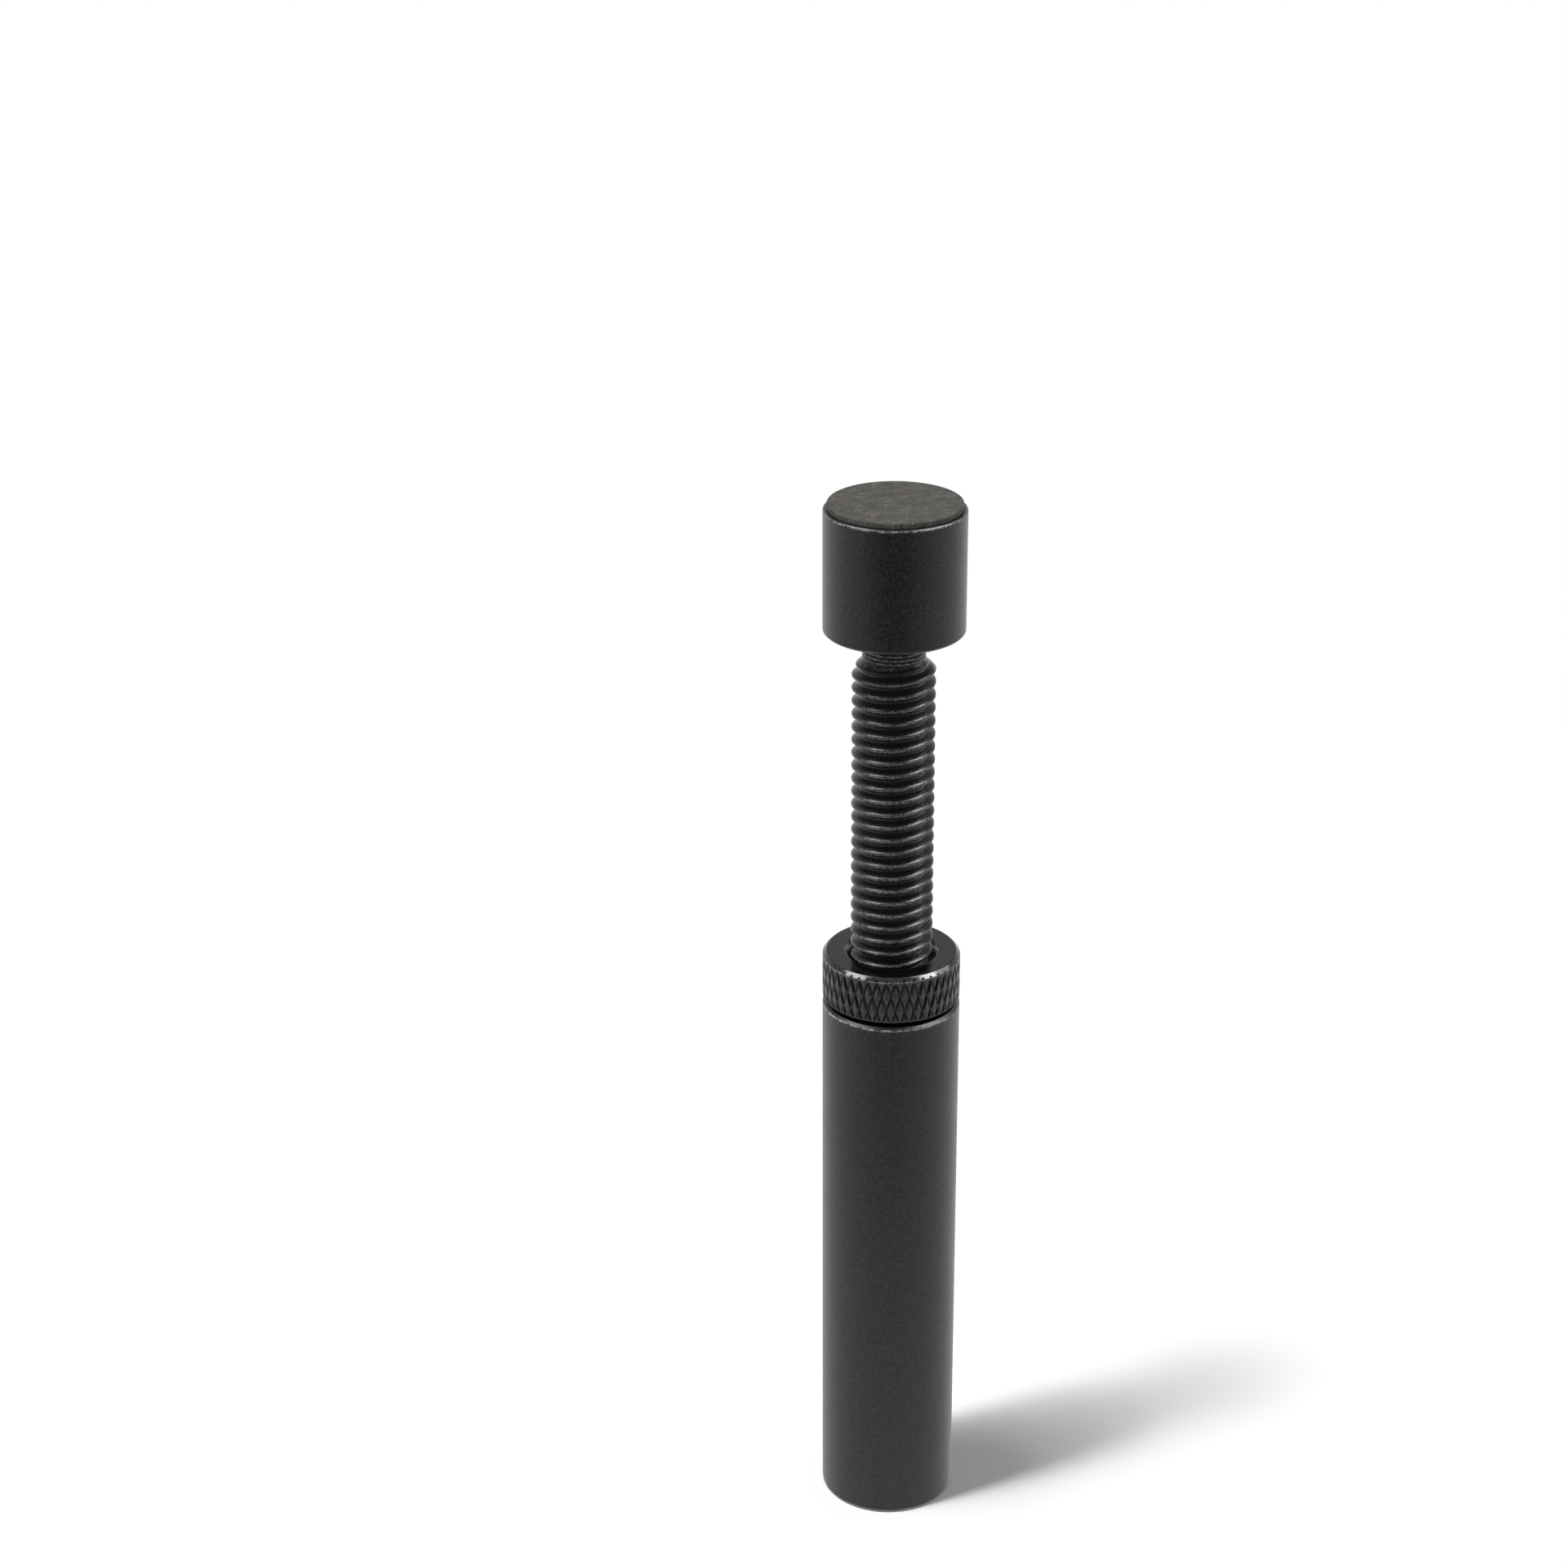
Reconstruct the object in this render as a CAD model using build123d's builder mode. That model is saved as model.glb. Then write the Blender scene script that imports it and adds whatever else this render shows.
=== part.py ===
from build123d import *
from math import cos, radians, sin
import os

os.makedirs("parts", exist_ok=True)

# Adjustable post that holds up the free end of a graphics card.
# A tube stands on the floor of the case. A knurled ring nut bears on the tube's top face and carries
# a threaded rod, and the padded head on the rod touches the card. Turning the ring raises or lowers
# the rod. Millimetres, +Z up, origin at the centre of the tube's foot.

# Tube, ring and head are turned flush from one size of bar
post_diameter = 14.0

# Base tube, a blind bore from the top and a magnet pocket in the foot
tube_length = 58.5
tube_bevel = 0.3
foot_bevel = 0.25
web_thickness = 2.6
bore_clearance = 0.2
bore_bevel = 0.3

# Magnet in the foot
magnet_diameter = 10.0
magnet_thickness = 3.0
magnet_inset = 0.2
magnet_clearance = 0.05
magnet_bevel = 0.2

# Ring nut
ring_height = 5.5
ring_bevel = 0.4
ring_foot_bevel = 0.7
ring_countersink = 0.5
thread_clearance = 0.1

# Crossed straight knurl around the ring nut
knurl_count = 46
knurl_lean = 16.0
knurl_depth = 0.18
knurl_width = 0.24

# Threaded rod, given by its outside diameter, with a plain neck and stud under the head
rod_diameter = 8.3
rod_end_bevel = 0.8
rod_end_clearance = 1.2
neck_diameter = 6.3
neck_length = 2.9
stud_depth = 7.0
stud_bevel = 0.4
stud_clearance = 0.05

# Head and its pad
extension = 34.5
head_height = 12.5
head_top_bevel = 0.15
head_foot_bevel = 0.2
pad_diameter = 13.2
pad_thickness = 0.6
pad_edge_bevel = 0.15

# Levels along the axis
magnet_top = magnet_inset + magnet_thickness
bore_floor = magnet_top + web_thickness
ring_top = tube_length + ring_height
head_foot = ring_top + extension
head_top = head_foot + head_height
rod_top = head_foot - neck_length
rod_length = tube_length + ring_height - bore_floor - rod_end_clearance
rod_foot = head_foot - rod_length
stud_top = head_foot + stud_depth
lead_in = (rod_diameter - neck_diameter) / 2

tube_bore = rod_diameter + 2 * bore_clearance
ring_bore = rod_diameter + 2 * thread_clearance
stud_hole = neck_diameter + 2 * stud_clearance


def rim(part, height, which):
    """The circular edge at a height, the smallest (0) or the largest (-1) one."""
    circles = part.edges().filter_by(GeomType.CIRCLE)
    level = circles.filter_by_position(Axis.Z, height - 0.001, height + 0.001)
    return level.sort_by(SortBy.RADIUS)[which]


def knurl_groove(lean):
    """One straight V groove across the ring's side, leaning away from the ring's axis."""
    side = post_diameter / 2
    outside = post_diameter
    half_width = knurl_width / 2 * (1 + (outside - side) / knurl_depth)
    across = Plane(
        origin=(0, 0, tube_length + ring_height / 2),
        x_dir=(1, 0, 0),
        z_dir=(0, sin(radians(lean)), cos(radians(lean))),
    )
    with BuildPart() as groove:
        with BuildSketch(across):
            with BuildLine():
                Polyline(
                    (side - knurl_depth, 0),
                    (outside, -half_width),
                    (outside, half_width),
                    close=True,
                )
            make_face()
        extrude(amount=ring_height, both=True)
    return groove.part


# Base tube
with BuildPart() as base_tube:
    with BuildSketch():
        Circle(post_diameter / 2)
    extrude(amount=tube_length)
    with Locations((0, 0, tube_length)):
        Hole(tube_bore / 2, depth=tube_length - bore_floor)
    with Locations(Location((0, 0, 0), (180, 0, 0))):
        Hole(magnet_diameter / 2 + magnet_clearance, depth=magnet_top)
    chamfer(rim(base_tube.part, tube_length, -1), tube_bevel)
    chamfer(rim(base_tube.part, tube_length, 0), bore_bevel)
    chamfer(rim(base_tube.part, 0, -1), foot_bevel)
base_tube.part.label = "base_tube"
export_step(base_tube.part, "parts/base_tube.step")

# Magnet
with BuildPart() as base_magnet:
    with BuildSketch(Plane.XY.offset(magnet_inset)):
        Circle(magnet_diameter / 2)
    extrude(amount=magnet_thickness)
    chamfer(base_magnet.edges().filter_by(GeomType.CIRCLE), magnet_bevel)
base_magnet.part.label = "base_magnet"
export_step(base_magnet.part, "parts/base_magnet.step")

# Ring nut
left_groove = knurl_groove(-knurl_lean)
right_groove = knurl_groove(knurl_lean)
with BuildPart() as adjusting_ring:
    with BuildSketch(Plane.XY.offset(tube_length)):
        Circle(post_diameter / 2)
        Circle(ring_bore / 2, mode=Mode.SUBTRACT)
    extrude(amount=ring_height)
    chamfer(rim(adjusting_ring.part, ring_top, -1), ring_bevel)
    chamfer(rim(adjusting_ring.part, tube_length, -1), ring_foot_bevel)
    chamfer(rim(adjusting_ring.part, ring_top, 0), ring_countersink)
    chamfer(rim(adjusting_ring.part, tube_length, 0), bore_bevel)
    with PolarLocations(0, knurl_count):
        add(left_groove, mode=Mode.SUBTRACT)
        add(right_groove, mode=Mode.SUBTRACT)
adjusting_ring.part.label = "adjusting_ring"
export_step(adjusting_ring.part, "parts/adjusting_ring.step")

# Threaded rod
with BuildPart() as threaded_rod:
    with BuildSketch(Plane.XZ):
        with BuildLine():
            Polyline(
                (0, rod_foot),
                (rod_diameter / 2 - rod_end_bevel, rod_foot),
                (rod_diameter / 2, rod_foot + rod_end_bevel),
                (rod_diameter / 2, rod_top - lead_in),
                (neck_diameter / 2, rod_top),
                (neck_diameter / 2, stud_top - stud_bevel),
                (neck_diameter / 2 - stud_bevel, stud_top),
                (0, stud_top),
                close=True,
            )
        make_face()
    revolve(axis=Axis.Z)
threaded_rod.part.label = "threaded_rod"
export_step(threaded_rod.part, "parts/threaded_rod.step")

# Head
with BuildPart() as head:
    with BuildSketch(Plane.XY.offset(head_foot)):
        Circle(post_diameter / 2)
    extrude(amount=head_height)
    with Locations(Location((0, 0, head_foot), (180, 0, 0))):
        Hole(stud_hole / 2, depth=stud_depth)
    chamfer(rim(head.part, head_top, -1), head_top_bevel)
    chamfer(rim(head.part, head_foot, -1), head_foot_bevel)
head.part.label = "head"
export_step(head.part, "parts/head.step")

# Pad on the head
with BuildPart() as head_pad:
    with BuildSketch(Plane.XY.offset(head_top)):
        Circle(pad_diameter / 2)
    extrude(amount=pad_thickness)
    chamfer(rim(head_pad.part, head_top + pad_thickness, -1), pad_edge_bevel)
head_pad.part.label = "head_pad"
export_step(head_pad.part, "parts/head_pad.step")
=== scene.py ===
"""Adjustable graphics card support post: the looks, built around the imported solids.

A matte tube, a knurled ring nut, a threaded rod and a padded head, all in metres, +Z up.
"""

import math

import bmesh
import bpy
import numpy as np
from mathutils import Matrix, Vector


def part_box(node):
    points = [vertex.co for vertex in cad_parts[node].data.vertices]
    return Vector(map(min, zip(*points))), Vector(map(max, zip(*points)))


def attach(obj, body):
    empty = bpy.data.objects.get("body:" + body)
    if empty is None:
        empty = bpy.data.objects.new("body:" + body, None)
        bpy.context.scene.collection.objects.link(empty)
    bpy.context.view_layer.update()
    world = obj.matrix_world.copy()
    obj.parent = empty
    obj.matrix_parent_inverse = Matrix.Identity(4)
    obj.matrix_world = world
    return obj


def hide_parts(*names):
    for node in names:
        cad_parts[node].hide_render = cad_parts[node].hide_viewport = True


bl_info = {
    "name": "Card Support Post",
    "version": (1, 0, 0),
    "blender": (4, 5, 0),
    "location": "3D View > Sidebar > Post",
    "description": "Builds a screw post that holds up the free end of a graphics card",
    "category": "Add Mesh",
}

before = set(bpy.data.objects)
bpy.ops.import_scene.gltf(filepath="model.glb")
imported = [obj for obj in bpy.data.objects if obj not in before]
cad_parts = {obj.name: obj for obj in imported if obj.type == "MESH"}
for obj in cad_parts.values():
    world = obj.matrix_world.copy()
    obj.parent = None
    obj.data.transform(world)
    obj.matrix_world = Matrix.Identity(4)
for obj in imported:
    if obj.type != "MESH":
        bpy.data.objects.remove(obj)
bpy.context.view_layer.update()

TUBE_LOW, TUBE_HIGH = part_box("base_tube")
MAGNET_LOW, MAGNET_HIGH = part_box("base_magnet")
RING_LOW, RING_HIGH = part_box("adjusting_ring")
ROD_LOW, ROD_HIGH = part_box("threaded_rod")
HEAD_LOW, HEAD_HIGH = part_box("head")
PAD_LOW, PAD_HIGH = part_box("head_pad")


def length(name, description, default):
    """A size in metres that a user may change."""
    return bpy.props.FloatProperty(
        name=name, description=description, default=default, precision=5, min=0.0, unit="LENGTH"
    )


def colour(name, description, default):
    """A surface colour that a user may change."""
    return bpy.props.FloatVectorProperty(
        name=name, description=description, default=default, size=3, min=0.0, max=1.0, subtype="COLOR"
    )


class PostSizes(bpy.types.PropertyGroup):
    """Sizes of the post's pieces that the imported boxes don't give."""

    edge_round: length("Edge round", "Rounding where turned faces meet", 0.00006)
    tube_bevel: length("Tube bevel", "Bevel round the tube's top", 0.0003)
    foot_bevel: length("Foot bevel", "Bevel round the tube's foot", 0.00025)
    tube_bore: length("Tube bore", "Radius of the bore that takes the rod", ROD_HIGH.x + 0.0002)
    bore_floor: length("Bore floor", "Height of the bore's floor", 0.0058)
    bore_bevel: length("Bore bevel", "Bevel at the mouth of a bore", 0.0003)
    pocket_gap: length("Pocket gap", "Clearance round the magnet", 0.00005)
    magnet_bevel: length("Magnet bevel", "Bevel round the magnet", 0.0002)
    ring_bevel: length("Ring bevel", "Bevel round the ring nut's top", 0.0004)
    ring_foot_bevel: length("Ring foot bevel", "Bevel round the ring nut's foot", 0.0007)
    ring_countersink: length("Ring countersink", "Countersink at the top of the nut's thread", 0.0005)
    thread_gap: length("Thread gap", "Clearance between rod and nut", 0.0001)
    knurl_depth: length("Knurl depth", "Depth of the knurled grooves", 0.0002)
    knurl_width: length("Knurl width", "Width of a groove over its rounded shoulders", 0.0005)
    knurl_count: bpy.props.IntProperty(
        name="Knurl count", description="Grooves of each hand round the ring", default=46, min=8
    )
    knurl_lean: bpy.props.FloatProperty(
        name="Knurl lean",
        description="Angle between a groove and the axis",
        default=math.radians(16.0),
        subtype="ANGLE",
    )
    thread_pitch: length("Thread pitch", "Rise of one turn of the thread", 0.00138)
    thread_depth: length("Thread depth", "Depth of the thread", 0.00074)
    thread_crest: length("Thread crest", "Width of the thread's crest", 0.00016)
    thread_root: length("Thread root", "Width of the thread's root", 0.0002)
    rod_radius: length("Rod radius", "Outside radius of the thread", ROD_HIGH.x)
    rod_end_bevel: length("Rod end bevel", "Bevel at the rod's lower end", 0.0008)
    neck_radius: length("Neck radius", "Radius of the plain neck under the head", 0.00315)
    neck_length: length("Neck length", "Length of the plain neck under the head", 0.0029)
    neck_ring: length("Neck ring", "Spacing of the fine rings turned in the neck", 0.0004)
    neck_ring_depth: length("Neck ring depth", "Depth of those rings", 0.00014)
    stud_gap: length("Stud gap", "Clearance of the stud in the head", 0.00005)
    head_top_bevel: length("Head top bevel", "Bevel round the head's top", 0.00015)
    head_foot_bevel: length("Head foot bevel", "Bevel round the head's underside", 0.0002)
    pad_round: length("Pad round", "Rounding of the pad's upper edge", 0.00015)


class PostFinishes(bpy.types.PropertyGroup):
    """Colours of the finishes."""

    matte_black: colour("Matte black", "Blasted and anodised tube and head", (0.012, 0.012, 0.0125))
    rod_black: colour("Rod black", "Bright turned and anodised rod", (0.02, 0.02, 0.0205))
    ring_black: colour("Ring black", "Bright turned and anodised ring", (0.003, 0.003, 0.0032))
    # Also the colour painted as highlight on bevels, rims and crests
    bare_edge_and_highlight: colour("Bare edge", "Metal that shows at thinly anodised edges", (0.4, 0.4, 0.4))
    pad_rubber: colour("Pad rubber", "Dark rubber of the pad", (0.095, 0.088, 0.079))
    plating: colour("Plating", "Nickel plating of the magnet", (0.62, 0.6, 0.57))
    floor: colour("Floor", "Plain pale floor", (0.93, 0.93, 0.93))


class PostStage(bpy.types.PropertyGroup):
    """Camera and light."""

    lens: bpy.props.FloatProperty(name="Lens", description="Focal length in mm", default=72.67)
    camera_back: length("Camera back", "Distance from the axis to the camera", 0.28924)
    camera_height: length("Camera height", "Height of the camera above the floor", 0.20602)
    camera_pitch: bpy.props.FloatProperty(
        name="Camera pitch", description="How far the camera looks down", default=0.4045, subtype="ANGLE"
    )
    camera_yaw: bpy.props.FloatProperty(
        name="Camera yaw", description="How far the camera looks left", default=0.0374, subtype="ANGLE"
    )
    camera_roll: bpy.props.FloatProperty(
        name="Camera roll", description="Roll of the camera", default=-0.0056, subtype="ANGLE"
    )
    key_strength: bpy.props.FloatProperty(
        name="Key strength", description="Each part of the tall soft light at the front left", default=0.57
    )
    key_spread: bpy.props.FloatProperty(
        name="Key spread", description="Angular size of each part of the key light",
        default=math.radians(5.0), subtype="ANGLE",
    )
    glint_size: length("Glint size", "Side of the soft lights for glints", 0.4)
    fill: bpy.props.FloatProperty(
        name="Fill", description="Even light from all round", default=0.25
    )


# Profiles and meshes of revolution

# Mask of wear and painted highlight above 0, and of painted shade in the knurl's grooves below 0
WEAR_AND_PAINTED_LIGHT_MASK = "edge"
# Flat length kept beside a rounding, and the longest gap between two rows of a profile
HOLD = 0.00008
LONGEST_GAP = 0.004
# Rows round a corner, and the most of a side that one rounding may take
ROUND_STEPS = 4
ROUND_SHARE = 0.4


def rounded_profile(corners):
    """Rows (radius, height, edge) along a profile with rounded corners (radius, height, round, wear).

    Edge is the wear of a rounded corner, with a painted highlight on the rims, and 0 between corners.
    A corner with no more than its radius and height stays sharp.
    """
    points = [Vector(corner[:2]) for corner in corners]
    rows = []
    for index, corner in enumerate(corners):
        radius, height, rounding, wear = (*corner, 0.0, 0.0)[:4]
        here = points[index]
        if rounding == 0 or index in (0, len(corners) - 1):
            rows.append((radius, height, 0.0))
            continue
        before = points[index - 1] - here
        after = points[index + 1] - here
        reach = min(rounding, ROUND_SHARE * before.length, ROUND_SHARE * after.length)
        start = here + before.normalized() * reach
        end = here + after.normalized() * reach
        if before.length > 2 * (reach + HOLD):
            hold = here + before.normalized() * (reach + HOLD)
            rows.append((hold.x, hold.y, 0.0))
        for step in range(ROUND_STEPS + 1):
            t = step / ROUND_STEPS
            point = (1 - t) ** 2 * start + 2 * t * (1 - t) * here + t * t * end
            rows.append((point.x, point.y, wear))
        if after.length > 2 * (reach + HOLD):
            hold = here + after.normalized() * (reach + HOLD)
            rows.append((hold.x, hold.y, 0.0))
    return split_long_rows(rows)


def split_long_rows(rows):
    """The same rows, with more between two that lie far apart."""
    filled = [rows[0]]
    for row in rows[1:]:
        last = filled[-1]
        gap = math.hypot(row[0] - last[0], row[1] - last[1])
        count = max(1, math.ceil(gap / LONGEST_GAP))
        for step in range(1, count + 1):
            t = step / count
            edge = row[2] if t == 1 else 0.0
            filled.append((last[0] + (row[0] - last[0]) * t, last[1] + (row[1] - last[1]) * t, edge))
    return filled


def mesh_object(name, vertices, faces, edges):
    """A smooth mesh object with its edge mask as a point attribute: wear and painted highlight above 0,
    painted shade in grooves below 0.
    """
    mesh = bpy.data.meshes.new(name)
    mesh.from_pydata(vertices, [], faces)
    mask = mesh.attributes.new(WEAR_AND_PAINTED_LIGHT_MASK, "FLOAT", "POINT")
    mask.data.foreach_set("value", np.asarray(edges, np.float32))
    mesh.polygons.foreach_set("use_smooth", np.ones(len(mesh.polygons), bool))
    mesh.update()
    piece = bpy.data.objects.new(name, mesh)
    bpy.context.scene.collection.objects.link(piece)
    return piece


def turned(name, rows, segments, closed=False):
    """A mesh of rows (radius, height, edge) round the Z axis, from the inside out.

    A radius or height may be an array with one value per segment. A row of radius 0 is one point.
    A closed profile joins its last row to its first.
    """
    angle = np.arange(segments) * 2 * math.pi / segments
    vertices, edges, starts = [], [], []
    for radius, height, edge in rows:
        starts.append(len(vertices))
        if np.isscalar(radius) and radius == 0:
            vertices.append((0.0, 0.0, float(height)))
            edges.append(edge)
            continue
        ring = np.stack(
            [radius * np.cos(angle), radius * np.sin(angle), np.broadcast_to(height, segments)], -1
        )
        vertices.extend(map(tuple, ring.tolist()))
        edges.extend(np.broadcast_to(edge, segments).tolist())
    starts.append(len(vertices))
    pairs = list(range(len(rows) - 1)) + ([len(rows) - 1] if closed else [])
    faces = []
    for index in pairs:
        other = (index + 1) % len(rows)
        low, high = starts[index], starts[other]
        single_low = starts[index + 1] - low == 1
        single_high = starts[other + 1] - high == 1
        for step in range(segments):
            ahead = (step + 1) % segments
            if single_low:
                faces.append((low, high + ahead, high + step))
            elif single_high:
                faces.append((low + step, low + ahead, high))
            else:
                faces.append((low + step, low + ahead, high + ahead, high + step))
    return mesh_object(name, vertices, faces, edges)


def place(piece, body, node, material):
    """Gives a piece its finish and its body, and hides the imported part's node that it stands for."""
    piece.data.materials.append(material)
    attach(piece, body)
    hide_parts(node)


# Thread

TURN_STEPS = 96
PITCH_STEPS = 20
# Pitches from the strip's start up to the rod's lower end, and turns added to pass both ends
THREAD_START = 1.5
SPARE_TURNS = 2
# Straight share of a flank, the rest being a smooth curve
FLANK_STRAIGHT = 0.65
# Width of the worn and painted highlight line on a crest's shoulder, as a share of the pitch
CREST_HIGHLIGHT_LINE = 0.055
# Share of the nut's thread, at each end, over which it reaches its full depth
NUT_EASE = 1 / 6
NECK_STEPS = 8
# Wear with a painted highlight on the crests of the neck's rings
NECK_WEAR_AND_HIGHLIGHT = 1.2
ROD_FOOT_WEAR = 1.0
# Rounding of the stud's end, in edge roundings
STUD_ROUND = 4
MERGE_REACH = 1e-7
SLIVER_REACH = 1e-8


def smooth_step(value):
    """A smooth rise from 0 to 1."""
    clipped = np.clip(value, 0.0, 1.0)
    return clipped * clipped * (3 - 2 * clipped)


def thread_drop(phase, sizes):
    """Depth of the thread's surface below its crest, where phase counts pitches from a crest."""
    offset = np.abs(phase - np.round(phase)) * sizes.thread_pitch
    crest, root = sizes.thread_crest / 2, sizes.thread_root / 2
    flank = sizes.thread_pitch / 2 - crest - root
    down = np.clip((offset - crest) / flank, 0.0, 1.0)
    return sizes.thread_depth * (FLANK_STRAIGHT * down + (1 - FLANK_STRAIGHT) * smooth_step(down))


def crest_wear_and_highlight(phase, sizes):
    """1 along the shoulders of the thread's crest, where wear and a painted highlight line go."""
    offset = np.abs(phase - np.round(phase)) * sizes.thread_pitch
    width = CREST_HIGHLIGHT_LINE * sizes.thread_pitch
    return np.exp(-(((offset - sizes.thread_crest / 2) / width) ** 2))


def build_rod(sizes):
    """Threaded rod with a plain neck and stud.

    The thread is one long strip that climbs by a pitch each turn. Where it passes the rod's ends it
    is drawn in to the end bevel below and to the neck's lead-in above.
    """
    pitch = sizes.thread_pitch
    low = ROD_LOW.z
    high = HEAD_LOW.z - sizes.neck_length
    tip = sizes.rod_radius - sizes.rod_end_bevel
    turns = math.ceil((high - low) / pitch) + SPARE_TURNS
    steps = turns * TURN_STEPS
    along = np.arange(steps + 1)
    angle = along * 2 * math.pi / TURN_STEPS
    vertices, edges = [], []
    for row in range(PITCH_STEPS):
        phase = row / PITCH_STEPS
        height = low + (along / TURN_STEPS + phase - THREAD_START) * pitch
        radius = np.full(steps + 1, sizes.rod_radius - thread_drop(phase, sizes))
        radius = np.minimum(radius, tip + np.maximum(height - low, 0.0))
        radius = np.minimum(radius, sizes.neck_radius + np.maximum(high - height, 0.0))
        height = np.clip(height, low, high)
        vertices.append(np.stack([radius * np.cos(angle), radius * np.sin(angle), height], -1))
        # Wear and painted highlight line along the crests
        edges.append(np.full(steps + 1, crest_wear_and_highlight(phase, sizes)))
    grid = np.array(vertices)
    number = np.arange(PITCH_STEPS * (steps + 1)).reshape(PITCH_STEPS, steps + 1)
    faces = []
    for row in range(PITCH_STEPS - 1):
        low_row, high_row = number[row], number[row + 1]
        faces.append(np.stack([low_row[:-1], low_row[1:], high_row[1:], high_row[:-1]], -1))
    last = number[-1][: -TURN_STEPS]
    first = number[0][TURN_STEPS:]
    faces.append(np.stack([last[:-1], last[1:], first[1:], first[:-1]], -1))
    piece = mesh_object(
        "threaded_rod_piece",
        grid.reshape(-1, 3).tolist(),
        np.concatenate(faces).tolist(),
        np.concatenate(edges),
    )
    close_rod_ends(piece, sizes, low, high, tip)
    return piece


def close_rod_ends(piece, sizes, low, high, tip):
    """Merges what was drawn in at the rod's ends, and adds the neck, the stud and the lower face."""
    neck = [(sizes.neck_radius, high, 0.0)]
    steps = round(sizes.neck_length / sizes.neck_ring) * NECK_STEPS
    for step in range(1, steps):
        height = high + step * sizes.neck_length / steps
        wave = (1 - math.cos(2 * math.pi * step / NECK_STEPS)) / 2
        radius = sizes.neck_radius - sizes.neck_ring_depth * wave
        # Wear and painted highlight on each ring's crest
        neck.append((radius, height, NECK_WEAR_AND_HIGHLIGHT * (1 - wave) ** 2))
    stud = rounded_profile([
        (sizes.neck_radius, HEAD_LOW.z),
        (sizes.neck_radius, ROD_HIGH.z, STUD_ROUND * sizes.edge_round),
        (0.0, ROD_HIGH.z),
    ])
    neck_piece = turned("neck", neck + stud, TURN_STEPS)
    foot = [(0.0, low, 0.0), (tip / 2, low, 0.0), (tip, low, ROD_FOOT_WEAR)]
    foot_piece = turned("foot", foot, TURN_STEPS)
    shape = bmesh.new()
    for part in (piece, neck_piece, foot_piece):
        shape.from_mesh(part.data)
    bmesh.ops.remove_doubles(shape, verts=shape.verts, dist=MERGE_REACH)
    bmesh.ops.dissolve_degenerate(shape, edges=shape.edges, dist=SLIVER_REACH)
    bmesh.ops.recalc_face_normals(shape, faces=shape.faces)
    shape.to_mesh(piece.data)
    shape.free()
    for part in (neck_piece, foot_piece):
        bpy.data.meshes.remove(part.data)


# Knurl

# Segments to a groove's spacing, rows up the ring's side and down its bore, and rows on a bevel
KNURL_STEPS = 24
KNURL_ROWS = 42
BORE_ROWS = 16
BEVEL_STEPS = np.array([0.0, 0.12, 0.5, 0.88])
# Wear of the lands and of the countersink's mouth; wear with a painted highlight on the upper bevel and on
# the corner between the lands and that bevel
LAND_WEAR = 0.4
BEVEL_WEAR_AND_HIGHLIGHT = 0.4
CORNER_WEAR_AND_HIGHLIGHT = 5.0
MOUTH_WEAR = 0.3
# Depth at which a land's wear ends
LAND_FADE = 0.00004
# Power that rounds a groove's shoulders, and power by which the painted shade that dulls its shine grows
# with depth
KNURL_CURVE = 1.4
GROOVE_SHADE_CURVE = 2
# Height over which the grooves fade towards the upper bevel, and the share of their depth left on it
KNURL_FADE = 0.0003
BEVEL_SHARE = 0.35


def knurl_drop(angle, height, sizes, radius):
    """Depth of the crossed grooves at points on the ring's side. They cross at its upper edge.

    Towards that edge they grow shallower, and only their upper ends mark the bevel.
    """
    top = RING_HIGH.z - sizes.ring_bevel
    spacing = 2 * math.pi * radius / sizes.knurl_count
    drop = np.zeros_like(angle)
    for hand in (-1, 1):
        across = angle * radius + hand * math.tan(sizes.knurl_lean) * (height - top)
        offset = np.abs(across / spacing - np.round(across / spacing)) * spacing
        groove = np.clip(1 - offset / (sizes.knurl_width / 2), 0.0, 1.0) ** KNURL_CURVE
        drop = np.maximum(drop, sizes.knurl_depth * groove)
    fade = np.clip((top - height) / KNURL_FADE, 0.0, 1.0)
    return drop * (BEVEL_SHARE + (1 - BEVEL_SHARE) * fade)


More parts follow.
